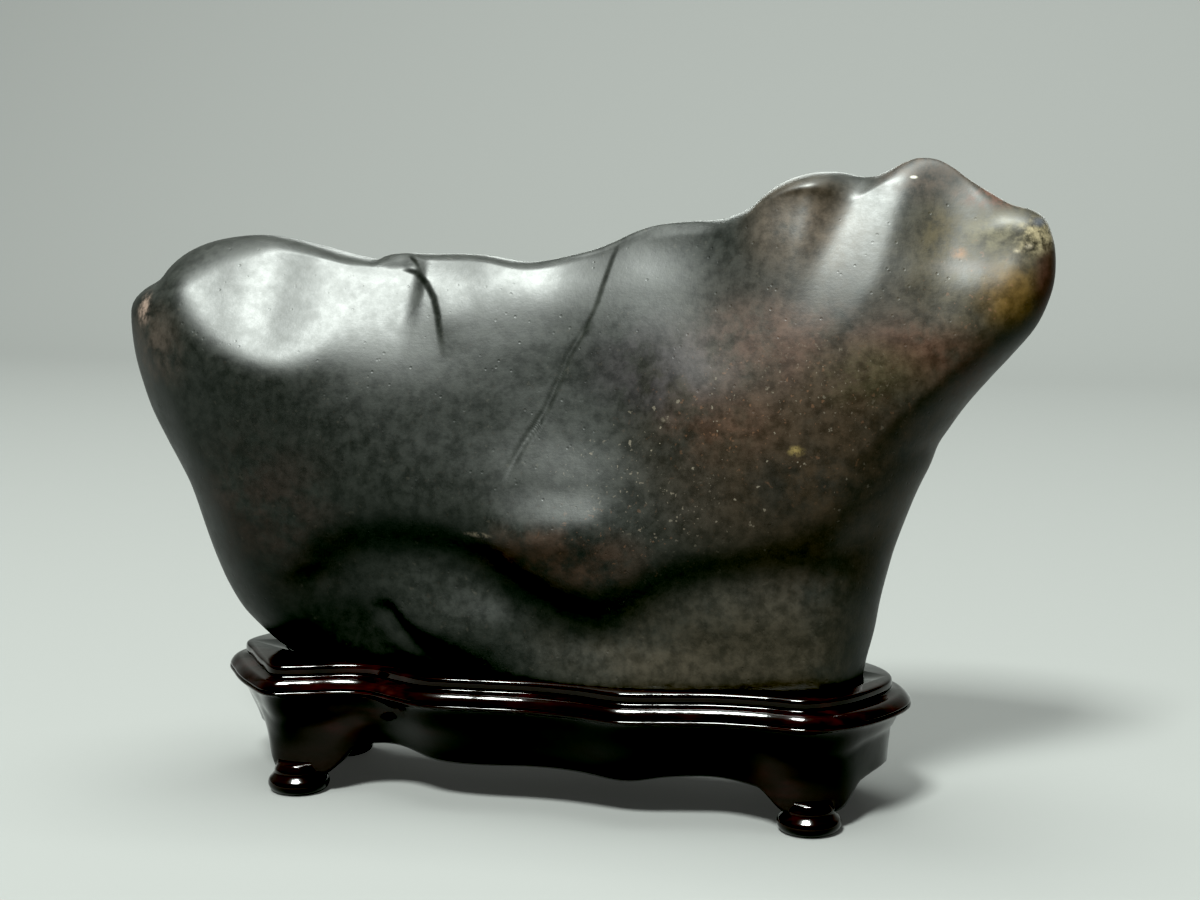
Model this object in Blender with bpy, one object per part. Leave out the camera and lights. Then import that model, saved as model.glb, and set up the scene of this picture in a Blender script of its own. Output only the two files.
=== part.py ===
"""Scholar's rock resting in its carved wooden stand.

Two pieces: the dark, water-worn stone, and the one-block stand it sits in. The stone drops into a
seat sunk into the top of the stand. Sizes are in millimetres here and are scaled to metres when the
meshes are made. +X runs along the stand, -Y faces the front, +Z is up, the feet stand on Z = 0.
"""
import math

import bmesh
import bpy
import numpy as np

MM = 0.001

# ---- stone: driving sizes -------------------------------------------------------------------
STONE_HEART = (15.0, 70.0)      # x, z the outline is drawn around
STONE_DIVISIONS = 5             # icosphere divisions
CHORD_SWELL = 0.15              # makes up for the flat triangles lying inside the curved surface

# Outline seen from the front: x, z, and how wide the edge is rounded over there.
STONE_OUTLINE = [
    (-100.3, 103.2, 12), (-99.5, 106.3, 11), (-96.7, 108.8, 9), (-93.0, 110.9, 8),
    (-90.2, 114.0, 8), (-86.2, 117.0, 8), (-80.7, 119.2, 8), (-73.9, 120.4, 8),
    (-68.0, 120.6, 7), (-61.7, 119.6, 6), (-55.4, 118.1, 5), (-50.1, 116.7, 4),
    (-45.3, 115.8, 2.6), (-42.5, 115.5, 2.2), (-40.2, 116.5, 2.0), (-36.3, 117.0, 1.8),
    (-30.6, 116.9, 1.8), (-19.4, 116.8, 1.8), (-8.2, 115.4, 1.8), (3.8, 117.6, 1.8),
    (9.7, 119.6, 2.5), (14.7, 121.9, 3), (19.6, 123.4, 3), (26.4, 124.2, 3),
    (32.3, 124.5, 3), (36.5, 125.8, 3), (40.0, 127.6, 4), (43.5, 130.7, 4),
    (47.2, 132.8, 4), (51.7, 134.2, 4), (57.1, 134.4, 4), (61.1, 133.6, 4),
    (64.2, 133.4, 4), (67.6, 134.8, 4), (70.6, 136.4, 5), (73.6, 137.2, 7),
    (77.2, 136.8, 7), (80.6, 135.0, 7), (83.6, 132.8, 6), (91.6, 128.1, 5),
    (95.5, 127.1, 5), (98.3, 125.5, 6), (99.6, 123.1, 8), (100.7, 119.0, 11),
    (100.8, 113.4, 13), (99.6, 108.4, 15), (97.2, 103.3, 17), (92.8, 97.8, 17),
    (88.6, 93.0, 17), (84.0, 87.4, 17), (80.4, 82.1, 17), (78.5, 79.0, 17),
    (77.0, 74.8, 17), (74.1, 68.4, 16), (70.4, 58.2, 15), (68.8, 52.4, 15),
    (67.3, 46.0, 15), (66.2, 39.5, 14), (64.6, 33.0, 12), (63.5, 27.0, 9),
    (61.5, 24.3, 7), (57.0, 22.4, 6), (40.0, 22.0, 5), (10.0, 22.0, 5),
    (-20.0, 22.0, 5), (-45.0, 22.2, 6), (-57.0, 23.2, 8), (-63.1, 27.6, 11),
    (-67.4, 30.1, 13), (-71.6, 33.6, 14), (-75.4, 37.5, 15), (-78.7, 42.9, 16),
    (-81.0, 48.3, 16), (-83.0, 54.2, 16), (-86.4, 64.4, 16), (-89.2, 70.0, 16),
    (-92.4, 75.5, 16), (-95.7, 81.6, 16), (-97.9, 87.9, 15), (-99.6, 94.6, 14),
]
BACK_ROUND = 6.0                # how much wider the edge is rounded over at the back

# How far the two broad faces stand out from the middle plane, by height (rows) and x (columns).
FRONT_X = (-98, -90, -80, -70, -58, -45, -30, -15, 0, 15, 30, 45, 60, 72, 85, 100)
FRONT_Z = (22, 30, 38, 46, 54, 62, 70, 80, 90, 100, 110, 120, 130)
FRONT_DEPTH = (
    (5, 5, 6, 6.5, 7, 8.5, 11, 14.5, 16.5, 18, 15.5, 12.5, 10, 8, 6, 6),
    (6, 6, 7, 8, 9, 10, 13, 16, 17.5, 18.5, 17.5, 15.5, 13, 10, 7, 6),
    (7, 7, 9, 10.5, 12, 12, 15.5, 17.5, 18, 19, 18.5, 17, 14.5, 11, 8, 6),
    (8, 8.5, 11, 13.5, 15, 15.5, 17, 17.5, 19.4, 20.4, 20.2, 18.6, 15.5, 12, 8, 6),
    (9, 10, 13.5, 16, 18, 18.8, 19, 19.6, 22.2, 22.6, 22.4, 20.8, 17, 13.4, 9, 6),
    (10, 11.5, 15, 18, 19.5, 20.2, 20.5, 20.8, 23.2, 23.0, 22.8, 21.4, 18.4, 14.4, 9.5, 6),
    (10.5, 12.5, 16, 19, 20.5, 20.8, 20.6, 20.4, 21.9, 21.8, 22.2, 22.1, 19.9, 15.9, 10.5, 6),
    (11, 13, 17, 20.5, 21.8, 20.8, 19.4, 18.4, 18.0, 19.2, 21.6, 22.3, 20.7, 17, 12, 6),
    (11, 13, 17.5, 21, 22.5, 19.4, 17.2, 15.8, 14.6, 16.2, 19.6, 21.2, 21, 18, 13, 8),
    (10.5, 12.5, 17.5, 21, 22.2, 16.2, 13.8, 12.2, 11.0, 12.9, 16.5, 18.8, 19.6, 17.5, 13.5, 9),
    (9, 11.5, 16, 20, 20.5, 12.0, 8.6, 7.5, 6.4, 9.1, 12.3, 15.3, 17.0, 15.0, 11.5, 8.5),
    (8, 10, 14, 17, 17, 8.0, 1.2, 0.1, -1.2, 3.3, 7.2, 12.6, 14.4, 12.0, 7.5, 6),
    (8, 10, 13, 15, 14, 4, -4, -8, -8, -2, 2, 9.5, 11.6, 9.8, 5.0, 5),
)
BACK_X = (-95, -75, -55, -35, -15, 5, 25, 45, 65, 85, 100)
BACK_Z = (22, 34, 45, 56, 70, 85, 95, 105, 115, 126, 138)
BACK_DEPTH = (
    (6, 8, 10, 13, 14.5, 15, 15, 14, 11, 9, 8),
    (9, 11, 13, 15, 16.5, 17, 16.5, 15, 12.5, 10, 9),
    (11, 14, 16, 17.5, 18.5, 19, 18, 16.5, 14, 12, 10),
    (13, 17, 19, 20, 20.5, 20.5, 20, 18.5, 16, 14, 12),
    (14, 19, 21.5, 22, 21.5, 22, 22.5, 21, 18, 16, 13),
    (14, 19, 21.5, 22.5, 22, 22, 23, 22, 19.5, 17, 14),
    (13, 18, 20.5, 21.5, 21, 21, 22, 21.5, 19.5, 17, 14),
    (11, 16, 18, 19, 19, 19, 20.5, 20, 18.5, 16, 13),
    (9, 13, 15, 16, 16, 16, 17.5, 17.5, 16.5, 14, 11),
    (6, 10, 11, 12, 12, 12.5, 14, 14.5, 13.5, 11.5, 9),
    (4, 7, 7, 8, 9, 10, 11, 11, 10, 8, 7),
)

FRONT, BACK = -1, 1
SOFT, LEDGE = "soft", "ledge"

# Nearly flat planes worn down the front: name, place (x, z), how far it stands out there, how that
# changes across and up, how softly its edge blends, how far it reaches across, how much it slants as
# it goes up, and how fast it curls away beyond its reach.
FACETS = [
    ("broad facet on the left shoulder", (-60, 118), 5.5, (-0.15, -0.72), 2.4, 27, 0.0, 0.22),
    ("cheek", (66, 131), 6.0, (0.04, -0.53), 3.5, 4.5, 0.3, 0.03),
    ("turn at the right of the cheek", (69, 125), 9.3, (-0.40, -0.46), 1.2, 6.0, 0.0, 0.05),
]

# Marks worn into the faces: name, side, path (x, z), half width to its left and right, how far it
# stands out (+) or sinks (-), and its section. A ledge lifts the face to the right of its path.
STROKES = [
    ("long crease down from the top edge", FRONT,
     [(-9.5, 67.4), (-7.1, 73.9), (-4.8, 78.7), (-0.8, 85.2), (1.9, 92), (3.5, 96.6), (6.4, 101.6),
      (8.6, 107.4), (10.3, 115.2), (12.0, 122)], 2.6, 13.0, 2.9, LEDGE),
    ("end of the haunch", FRONT, [(8, 64), (-6, 63)], 6.0, 6.0, 1.2, SOFT),
    ("wavy undercut", FRONT,
     [(-48, 52), (-41, 54.7), (-32, 56), (-23, 55.5), (-14.6, 52.7), (-6, 47.8), (3, 43.6), (11, 42.0),
      (20, 45.4), (28, 50), (36.5, 52.5), (45, 54), (53, 55.4), (61, 57.4), (67, 60)], 5.0, 8.0, -2.6,
     SOFT),
    ("low lump on the left", FRONT, [(-27, 39), (-12, 38)], 7.0, 7.0, 1.2, SOFT),
    ("fold left of the low lump", FRONT, [(-36.2, 41.3), (-32.9, 37.5), (-29.6, 34.9), (-25.8, 33.1)],
     2.4, 2.4, -1.1, SOFT),
    ("split in the top edge", FRONT, [(-35.0, 117.0), (-31.5, 112.0), (-28.5, 105.0)], 1.8, 1.8, -1.0,
     SOFT),
    ("hollow in the left facet", FRONT, [(-58, 112), (-58, 104)], 6.0, 6.0, -0.35, SOFT),
    ("dish behind the snout", FRONT, [(82, 123), (92, 122)], 6.0, 6.0, -1.6, SOFT),
    ("lip under the dish", FRONT, [(74, 117.5), (80, 115.5), (87, 114.7), (99, 118)], 3.0, 3.0, 0.9,
     SOFT),
    ("back furrow", BACK, [(-30, 112), (-18, 92), (-22, 70), (-10, 48)], 8.0, 8.0, -2.4, SOFT),
    ("back hollow", BACK, [(38, 104), (46, 92)], 12.0, 12.0, -3.0, SOFT),
    ("back shelf", BACK, [(-60, 52), (-35, 45), (-5, 50), (30, 44), (60, 50)], 4.5, 4.5, -2.2, SOFT),
    ("back boss", BACK, [(-62, 84)], 14.0, 14.0, 1.6, SOFT),
]

# ---- stand: driving sizes -------------------------------------------------------------------
STAND_RINGS = 76                # points round the stand
SEAT_GAP = 0.3                  # air between the stone and its seat
PANEL_UNDERSIDE = 14.0          # height of the flat hollow under the stand
LEG_BOTTOM = 4.4                # where the legs run into the pads
LEG_HALF_WIDTH = 5.4
LEG_SPREAD = 13.0               # distance from a leg's middle at which it has become apron
BRACE_SPREAD = 24.0             # distance at which a leg has stopped bracing the apron outwards
KNEE = 1.1                      # how much less the legs tuck in than the apron
WALL = 5.0                      # apron thickness at its lower edge
SPINE = (-56.0, 50.0, 1.5)      # x from, x to, y of the line the stand is drawn around
APRON_SMOOTHING = 11.0          # how far each way the rim's curves are evened out for the apron

# Rim outline seen from above, from the left end along the front: x, y, height of the apron's lower
# edge below that point.
STAND_OUTLINE = [
    (-76.6, 3.0, 11.0), (-72.2, -4.5, 10.6), (-66.5, -12.5, 9.0), (-61.0, -18.3, 8.0),
    (-54.0, -16.6, 8.0), (-47.0, -13.8, 9.6), (-40.5, -13.4, 11.0), (-33.5, -16.9, 10.8),
    (-26.0, -19.8, 9.0), (-15.0, -19.4, 8.8), (-3.0, -18.8, 9.2), (6.5, -19.9, 9.1),
    (16.5, -22.3, 8.2), (26.0, -20.6, 9.6), (36.0, -18.6, 9.9), (46.0, -18.4, 9.2),
    (54.5, -18.9, 8.0), (61.5, -14.2, 8.0), (66.6, -6.6, 9.8), (69.7, 2.5, 11.0),
    (67.8, 10.5, 9.8), (61.5, 17.4, 8.0), (53.0, 20.6, 8.0), (43.0, 19.6, 9.6),
    (33.0, 18.8, 10.4), (22.0, 20.2, 9.4), (8.0, 22.0, 8.4), (-6.0, 20.4, 9.4),
    (-20.0, 18.8, 10.4), (-34.0, 18.8, 10.0), (-46.0, 20.2, 8.8), (-57.0, 21.4, 8.0),
    (-66.5, 18.8, 8.0), (-73.8, 12.0, 10.0),
]
# Moulding from the flat top down to the body: distance out from the rim outline, height.
MOULDING = [
    (-0.9, 28.6), (-0.25, 28.4), (0.0, 27.8), (0.0, 26.7), (-0.2, 26.2), (0.7, 25.6), (2.1, 25.3),
    (3.0, 25.0), (3.2, 24.4), (2.7, 23.9), (3.25, 23.4), (3.2, 22.8), (2.5, 22.4), (1.9, 22.1),
]
# Body below the moulding: distance out from the rim outline, share of the way down to the lower edge.
BODY = [(1.3, 0.08), (0.4, 0.30), (-1.2, 0.55), (-3.0, 0.80), (-4.2, 1.0)]
FEET = [(-57.6, -14.0), (55.1, -14.5), (-58.5, 16.0), (54.0, 15.8)]
# Turned pad under each leg: radius, height.
PAD = [(0.0, 0.0), (5.2, 0.0), (6.2, 0.6), (6.7, 1.7), (6.5, 2.8), (5.8, 3.6), (5.3, 4.3), (5.2, 5.0),
       (4.4, 6.4), (0.0, 6.4)]


# ---- helpers --------------------------------------------------------------------------------
def clear_scene():
    """Take every object out of the scene."""
    for obj in list(bpy.data.objects):
        bpy.data.objects.remove(obj, do_unlink=True)


def new_collection(name):
    """Make a collection and link it to the scene."""
    col = bpy.data.collections.new(name)
    bpy.context.scene.collection.children.link(col)
    return col


def material(name, colour, roughness):
    """A plain dielectric finish."""
    mat = bpy.data.materials.new(name)
    mat.use_nodes = True
    shader = mat.node_tree.nodes["Principled BSDF"]
    shader.inputs["Base Color"].default_value = (*colour, 1.0)
    shader.inputs["Roughness"].default_value = roughness
    shader.inputs["Metallic"].default_value = 0.0
    return mat


def mesh_object(name, bm, col, mat=None):
    """Turn a bmesh into a smooth-shaded object in a collection."""
    bmesh.ops.recalc_face_normals(bm, faces=bm.faces)
    mesh = bpy.data.meshes.new(name)
    bm.to_mesh(mesh)
    bm.free()
    mesh.polygons.foreach_set("use_smooth", [True] * len(mesh.polygons))
    if mat:
        mesh.materials.append(mat)
    obj = bpy.data.objects.new(name, mesh)
    col.objects.link(obj)
    return obj


def boolean(target, tool, operation):
    """Apply an exact Boolean and leave the tool in place."""
    mod = target.modifiers.new("Boolean", "BOOLEAN")
    mod.operation = operation
    mod.solver = "EXACT"
    mod.object = tool
    bpy.context.view_layer.objects.active = target
    with bpy.context.temp_override(object=target, active_object=target):
        bpy.ops.object.modifier_apply(modifier=mod.name)


def cubic(p0, p1, p2, p3, t):
    """Catmull-Rom blend between p1 and p2."""
    return 0.5 * (2 * p1 + (p2 - p0) * t + (2 * p0 - 5 * p1 + 4 * p2 - p3) * t * t
                  + (3 * p1 - p0 - 3 * p2 + p3) * t ** 3)


def closed_curve(points, count):
    """Smooth closed curve through the points, resampled to evenly spaced positions."""
    pts = np.array(points, float)
    n = len(pts)
    t = np.linspace(0, n, n * 24, endpoint=False)
    k = t.astype(int)
    f = (t - k)[:, None]
    dense = cubic(pts[(k - 1) % n], pts[k % n], pts[(k + 1) % n], pts[(k + 2) % n], f)
    step = np.linalg.norm(np.roll(dense, -1, 0)[:, :2] - dense[:, :2], axis=1)
    run = np.concatenate([[0], np.cumsum(step)])
    at = np.linspace(0, run[-1], count, endpoint=False)
    loop = np.vstack([dense, dense[:1]])
    return np.stack([np.interp(at, run, loop[:, i]) for i in range(loop.shape[1])], 1)


def smooth(x):
    """Ease from 0 to 1."""
    x = np.clip(x, 0, 1)
    return x * x * (3 - 2 * x)


# ---- stone ----------------------------------------------------------------------------------
def outline_at(turn):
    """Outline points and edge rounding at shares of the way round, from the right-hand side over the top."""
    loop = closed_curve(STONE_OUTLINE[::-1], 4096)
    facing = np.arctan2(loop[:, 1] - STONE_HEART[1], loop[:, 0] - STONE_HEART[0])
    loop = np.roll(loop, -np.argmin(np.abs(facing)), 0)
    loop = np.vstack([loop, loop[:1]])
    at = np.linspace(0, 1, len(loop))
    return [np.interp(turn, at, loop[:, i]) for i in range(3)]


def grid_depth(at_x, at_z, table, x, z):
    """Smoothly read a depth table at x, z."""
    table = np.array(table, float)

    def cell(stations, value):
        at = np.array(stations, float)
        k = np.clip(np.searchsorted(at, value) - 1, 0, len(at) - 2)
        return k, np.clip((value - at[k]) / (at[k + 1] - at[k]), 0, 1)

    kx, tx = cell(at_x, x)
    kz, tz = cell(at_z, z)
    rows = []
    for dz in (-1, 0, 1, 2):
        row = np.clip(kz + dz, 0, len(at_z) - 1)
        cols = [table[row, np.clip(kx + dx, 0, len(at_x) - 1)] for dx in (-1, 0, 1, 2)]
        rows.append(cubic(*cols, tx))
    return cubic(*rows, tz)


def path_distance(path, x, z):
    """Distance from a drawn path, share of the way along it, and whether a point is to its right."""
    best = np.full(x.shape, 1e9)
    share = np.zeros(x.shape)
    right = np.zeros(x.shape, bool)
    ends = path[1:] or path
    for number, (a, b) in enumerate(zip(path, ends)):
        run = np.subtract(b, a)
        length = max(float(run @ run), 1e-9)
        t = np.clip(((x - a[0]) * run[0] + (z - a[1]) * run[1]) / length, 0, 1)
        away = np.hypot(x - a[0] - t * run[0], z - a[1] - t * run[1])
        nearer = away < best
        best = np.where(nearer, away, best)
        share = np.where(nearer, (number + t) / len(ends), share)
        right = np.where(nearer, (x - a[0]) * run[1] - (z - a[1]) * run[0] > 0, right)
    return best, share, right


def facet_cut(depth, facet, x, z):
    """Cut the front back to one worn plane, with a soft edge."""
    _, anchor, out, lean, blend, reach, slant, curl = facet
    across, up = x - anchor[0], z - anchor[1]
    beyond = np.maximum(np.abs(across - slant * up) - reach, 0)
    plane = np.maximum(out + lean[0] * across + lean[1] * up, 1.2) + curl * beyond ** 2
    share = np.clip(0.5 + 0.5 * (depth - plane) / blend, 0, 1)
    return depth * (1 - share) + plane * share - blend * share * (1 - share)


def stroke_rise(stroke, x, z):
    """How far one mark lifts its face."""
    _, _, path, left_width, right_width, height, kind = stroke
    away, share, right = path_distance(path, x, z)
    if kind == SOFT:
        return height * np.exp(-(away / np.where(right, right_width, left_width)) ** 2)
    taper = smooth(share * 2.5) * smooth((1 - share) * 8)
    rim = smooth(0.5 + np.where(right, 0.5, -0.5) * away / left_width)
    return height * taper * rim * np.exp(-np.where(right, away / right_width, 0) ** 2)


def stone_surface(direction):
    """Place unit directions on the stone's surface, in millimetres."""
    reach = np.hypot(direction[:, 0], direction[:, 2])
    rim_x, rim_z, rounding = outline_at(np.arctan2(direction[:, 2], direction[:, 0]) / (2 * math.pi) % 1)
    x = STONE_HEART[0] + reach * (rim_x - STONE_HEART[0])
    z = STONE_HEART[1] + reach * (rim_z - STONE_HEART[1])
    side = np.where(direction[:, 1] < 0, FRONT, BACK)
    rounding = rounding + np.where(side == BACK, BACK_ROUND, 0)
    inset = np.clip((1 - reach) * np.hypot(rim_x - STONE_HEART[0], rim_z - STONE_HEART[1]) / rounding, 0, 1)
    edge = np.sqrt(1 - (1 - inset) ** 2)
    front = grid_depth(FRONT_X, FRONT_Z, FRONT_DEPTH, x, z)
    for facet in FACETS:
        front = facet_cut(front, facet, x, z)
    depth = np.where(side == FRONT, front, grid_depth(BACK_X, BACK_Z, BACK_DEPTH, x, z))
    for stroke in STROKES:
        depth = depth + np.where(side == stroke[1], stroke_rise(stroke, x, z), 0)
    return np.stack([x, side * np.maximum(depth, 1.5) * edge, z], 1)


def stone_mesh(swell=0.0):
    """The stone as a bmesh, optionally swollen outwards."""
    bm = bmesh.new()
    bmesh.ops.create_icosphere(bm, subdivisions=STONE_DIVISIONS, radius=1.0)
    bm.verts.ensure_lookup_table()
    unit = np.array([v.co for v in bm.verts])
    unit /= np.linalg.norm(unit, axis=1)[:, None]
    for vert, place in zip(bm.verts, stone_surface(unit)):
        vert.co = place * MM
    bm.normal_update()
    if swell:
        for vert in bm.verts:
            vert.co += vert.normal * swell * MM
    return bm


# ---- stand ----------------------------------------------------------------------------------
def stand_plan():
    """Points round the rim, their outward directions, and the lower edge, legs and braces there."""
    loop = closed_curve(STAND_OUTLINE, STAND_RINGS)
    rim, edge = loop[:, :2], loop[:, 2]
    spine = np.stack([np.clip(rim[:, 0], SPINE[0], SPINE[1]), np.full(len(rim), SPINE[2])], 1)
    out = rim - spine
    out /= np.linalg.norm(out, axis=1)[:, None]
    step = np.linalg.norm(np.roll(rim, -1, 0) - rim, axis=1)
    run = np.concatenate([[0], np.cumsum(step)])
    away = np.full(len(rim), 1e9)
    for foot in FEET:
        nearest = np.argmin(np.linalg.norm(rim - np.array(foot), axis=1))
        along = np.abs(run[:-1] - run[nearest])
        away = np.minimum(away, np.minimum(along, run[-1] - along))
    leg = 1 - smooth((away - LEG_HALF_WIDTH) / (LEG_SPREAD - LEG_HALF_WIDTH))
    brace = 1 - smooth((away - LEG_HALF_WIDTH) / (BRACE_SPREAD - LEG_HALF_WIDTH))
    return rim, out, edge * (1 - leg) + LEG_BOTTOM * leg, leg, brace


def stand_rings():
    """Rings of points from the rim's top, down the outside, and back up inside the hollow."""
    rim, out, edge, leg, brace = stand_plan()
    around = np.linalg.norm(np.roll(rim, -1, 0) - rim, axis=1).sum()
    steps = round(APRON_SMOOTHING * len(rim) / around)
    plain = np.mean([np.roll(rim, k, 0) for k in range(-steps, steps + 1)], 0)
    ends = 0.85 + 0.45 * np.abs(out[:, 0])
    rings = []
    for away, height in MOULDING:
        shift = away * (ends if away > 0 else 1)
        rings.append((rim + out * np.reshape(shift, (-1, 1)), np.full(len(rim), height)))
    for away, share in BODY:
        tuck = away * (1 - KNEE * brace) if away < 0 else away * ends
        height = MOULDING[-1][1] + (edge - MOULDING[-1][1]) * share
        base = rim + (plain - rim) * min(1.0, share * 1.6)
        rings.append((base + out * np.reshape(tuck, (-1, 1)), height))
    bottom = BODY[-1][0] * (1 - KNEE * brace)
    wall = WALL + 4.0 * leg
    inner = plain + out * (bottom - wall)[:, None]
    rings.append((inner, edge + 0.6 * (1 - leg)))
    rings.append((inner - out * 1.2, np.full(len(rim), PANEL_UNDERSIDE)))
    return [np.column_stack([plan, height]) for plan, height in rings]


def loft(rings):
    """Skin closed rings into one solid with flat ends."""
    bm = bmesh.new()
    loops = [[bm.verts.new(p * MM) for p in ring] for ring in rings]
    count = len(loops[0])
    for upper, lower in zip(loops, loops[1:]):
        for i in range(count):
            j = (i + 1) % count
            bm.faces.new((upper[i], upper[j], lower[j], lower[i]))
    bm.faces.new(loops[0])
    bm.faces.new(loops[-1])
    return bm


def turned_pad(name, centre, col):
    """A round pad foot turned about its own upright axis."""
    bm = bmesh.new()
    verts = [bm.verts.new((r * MM, 0, h * MM)) for r, h in PAD]
    for a, b in zip(verts, verts[1:]):
        bm.edges.new((a, b))
    bmesh.ops.spin(bm, geom=bm.verts[:] + bm.edges[:], axis=(0, 0, 1), cent=(0, 0, 0), steps=20,
                   angle=2 * math.pi, use_merge=True)
    bmesh.ops.remove_doubles(bm, verts=bm.verts, dist=1e-6)
    pad = mesh_object(name, bm, col)
    pad.location = (centre[0] * MM, centre[1] * MM, 0)
    return pad


def build():
    """Make the stone and the stand."""
    clear_scene()
    parts = new_collection("scholars_rock_on_stand")
    cutters = new_collection("cutters")
    stone_finish = material("polished_dark_stone", (0.030, 0.022, 0.017), 0.3)
    wood_finish = material("lacquered_dark_wood", (0.022, 0.010, 0.009), 0.12)

    mesh_object("stone", stone_mesh(CHORD_SWELL), parts, stone_finish)
    stand = mesh_object("stand", loft(stand_rings()), parts, wood_finish)
    for number, centre in enumerate(FEET, 1):
        pad = turned_pad(f"pad_{number}", centre, cutters)
        boolean(stand, pad, "UNION")
    seat = mesh_object("seat", stone_mesh(CHORD_SWELL + SEAT_GAP), cutters)
    boolean(stand, seat, "DIFFERENCE")
    for tool in cutters.objects:
        tool.hide_render = True
        tool.display_type = "WIRE"


build()
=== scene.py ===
"""Scholar's rock resting in its carved wooden stand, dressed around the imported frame.

Sizes are in millimetres and are scaled to metres when meshes are made. +X runs along the stand, -Y
faces the front and +Z is up, as in the frame.
"""
from __future__ import annotations

import logging
import math
from dataclasses import dataclass, field
from enum import Enum
from typing import Any, Sequence

import bmesh
import bpy
import numpy as np
from mathutils import Matrix, Vector

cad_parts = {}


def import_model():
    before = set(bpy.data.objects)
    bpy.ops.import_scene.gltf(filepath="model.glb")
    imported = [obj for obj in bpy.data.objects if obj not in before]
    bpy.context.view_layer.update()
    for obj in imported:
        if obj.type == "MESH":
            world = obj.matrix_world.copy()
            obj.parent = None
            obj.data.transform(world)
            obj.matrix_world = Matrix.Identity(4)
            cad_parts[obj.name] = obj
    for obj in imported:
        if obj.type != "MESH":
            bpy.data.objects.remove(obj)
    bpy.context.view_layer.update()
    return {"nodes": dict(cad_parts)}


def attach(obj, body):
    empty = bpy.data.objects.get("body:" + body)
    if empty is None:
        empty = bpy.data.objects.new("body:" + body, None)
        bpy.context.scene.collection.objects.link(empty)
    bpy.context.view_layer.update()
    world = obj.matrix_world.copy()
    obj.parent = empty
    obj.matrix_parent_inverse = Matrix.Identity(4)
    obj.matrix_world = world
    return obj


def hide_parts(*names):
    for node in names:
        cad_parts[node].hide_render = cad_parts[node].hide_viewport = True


MM = 0.001
LOG = logging.getLogger("scholars_rock")
FAR = 1e9           # further than any distance on the piece, mm
CURVE_STEPS = 48    # steps between neighbouring points, before a closed curve is spaced out evenly

Array = np.ndarray
Colour = tuple[float, float, float]
Point2 = tuple[float, float]
Point3 = tuple[float, float, float]


class Face(Enum):
    """The two broad faces of the stone, by the sign of Y."""

    FRONT = -1
    BACK = 1


class MarkKind(Enum):
    """How the section of a worn mark is shaped."""

    SOFT = "soft"
    CRISP = "crisp"
    LEDGE = "ledge"


# ---- shared shaping helpers -----------------------------------------------------------------
def cubic(p0: Array, p1: Array, p2: Array, p3: Array, t: Array) -> Array:
    """Blend smoothly between two middle values of four.

    Args:
        p0: Value before the stretch.
        p1: Value at its start.
        p2: Value at its end.
        p3: Value after it.
        t: Share of the way along the stretch.

    Returns:
        The Catmull-Rom value at t.
    """
    return 0.5 * (2 * p1 + (p2 - p0) * t + (2 * p0 - 5 * p1 + 4 * p2 - p3) * t * t
                  + (3 * p1 - p0 - 3 * p2 + p3) * t ** 3)


def closed_curve(points: Sequence[Sequence[float]], count: int) -> Array:
    """Draw a smooth closed curve through points.

    Args:
        points: Points to pass through; the first two numbers of each are its place.
        count: How many evenly spaced points to return.

    Returns:
        An array of count rows with as many columns as the points have numbers.
    """
    pts = np.array(points, float)
    n = len(pts)
    t = np.linspace(0, n, n * CURVE_STEPS, endpoint=False)
    k = t.astype(int)
    f = (t - k)[:, None]
    dense = cubic(pts[(k - 1) % n], pts[k % n], pts[(k + 1) % n], pts[(k + 2) % n], f)
    step = np.linalg.norm(np.roll(dense, -1, 0)[:, :2] - dense[:, :2], axis=1)
    run = np.concatenate([[0], np.cumsum(step)])
    at = np.linspace(0, run[-1], count, endpoint=False)
    loop = np.vstack([dense, dense[:1]])
    return np.stack([np.interp(at, run, loop[:, i]) for i in range(loop.shape[1])], 1)


def open_curve(points: Sequence[Point2], per_stretch: int) -> list[Point2]:
    """Draw a smooth open curve through points.

    Args:
        points: Points to pass through.
        per_stretch: How many steps to make between neighbours.

    Returns:
        The points of the curve, both ends included.
    """
    pts = np.array([points[0], *points, points[-1]], float)
    out = []
    for k in range(1, len(pts) - 2):
        for i in range(per_stretch):
            p = cubic(pts[k - 1], pts[k], pts[k + 1], pts[k + 2], i / per_stretch)
            out.append((float(p[0]), float(p[1])))
    out.append((float(pts[-1][0]), float(pts[-1][1])))
    return out


def smooth_step(x: Array) -> Array:
    """Ease from 0 to 1 as x goes from 0 to 1."""
    x = np.clip(x, 0, 1)
    return x * x * (3 - 2 * x)


def path_distance(path: Sequence[Point2], x: Array, z: Array) -> tuple[Array, Array, Array]:
    """Measure how far points lie from a drawn path.

    Args:
        path: Corners of the path in the plane of the face, or one point.
        x: Across places of the points.
        z: Heights of the points.

    Returns:
        The distance of each point from the path, its share of the way along the path, and whether it
        lies to the right of it.
    """
    best = np.full(x.shape, FAR)
    share = np.zeros(x.shape)
    right = np.zeros(x.shape, bool)
    ends = list(path[1:]) or [path[0]]
    for number, (a, b) in enumerate(zip(path, ends)):
        run = np.subtract(b, a)
        length = max(float(run @ run), 1e-9)
        t = np.clip(((x - a[0]) * run[0] + (z - a[1]) * run[1]) / length, 0, 1)
        away = np.hypot(x - a[0] - t * run[0], z - a[1] - t * run[1])
        nearer = away < best
        best = np.where(nearer, away, best)
        share = np.where(nearer, (number + t) / len(ends), share)
        right = np.where(nearer, (x - a[0]) * run[1] - (z - a[1]) * run[0] > 0, right)
    return best, share, right


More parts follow.
